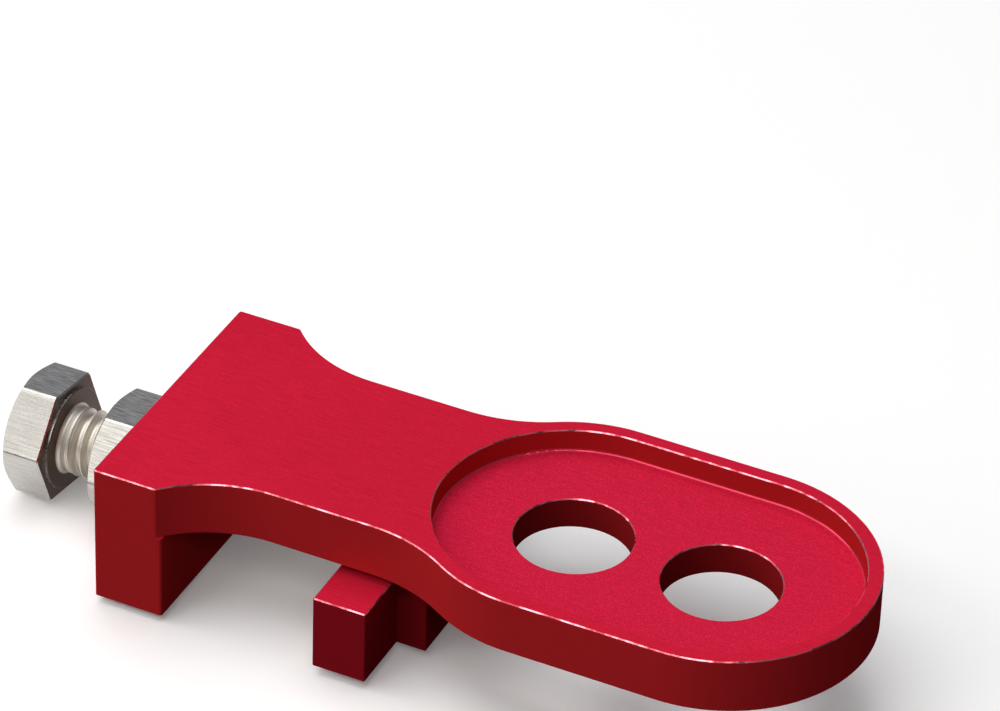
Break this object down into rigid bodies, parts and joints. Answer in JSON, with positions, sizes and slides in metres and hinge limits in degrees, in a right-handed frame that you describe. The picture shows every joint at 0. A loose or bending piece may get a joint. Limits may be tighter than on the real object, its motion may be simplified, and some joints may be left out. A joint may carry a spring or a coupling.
{
  "type": "chain tensioner",
  "caption": "Flat chain tensioner: waisted plate with axle holes in a round-ended pocket, a threaded head, a hex adjuster bolt with jam nut and a T-shaped dropout block.",
  "frame": {"origin": "centre of the inner axle hole on the plate's underside", "axes": "+X along the plate from the bolt to the round end, +Z out of the pocket"},
  "size_m": [0.0771, 0.0262, 0.0137],
  "materials": {
    "red_anodised_aluminium": "fine brushed and red anodised",
    "plated_steel": "bright plated"
  },
  "bodies": {
    "plate": {"tensioner_body": "red_anodised_aluminium"},
    "block": {"dropout_block": "red_anodised_aluminium"},
    "bolt": {"adjuster_bolt": "plated_steel"},
    "nut": {"jam_nut": "plated_steel"}
  },
  "joints": [
    {"name": "block_slide", "type": "slide", "parent": "plate", "child": "block", "axis": [1, 0, 0], "range_m": [-0.0138, 0.0039]},
    {"name": "bolt_turn", "type": "hinge", "parent": "block", "child": "bolt", "pos_m": [-0.0172, 0, -0.0033], "axis": [1, 0, 0], "range_deg": [-4968.1, 1404.1]},
    {"name": "nut_turn", "type": "hinge", "parent": "plate", "child": "nut", "pos_m": [-0.04, 0, -0.0033], "axis": [1, 0, 0], "range_deg": [-360, 0]}
  ],
  "couplings": [
    {"joint": "bolt_turn", "follows": "block_slide", "rad_per_m": 6283.2}
  ]
}
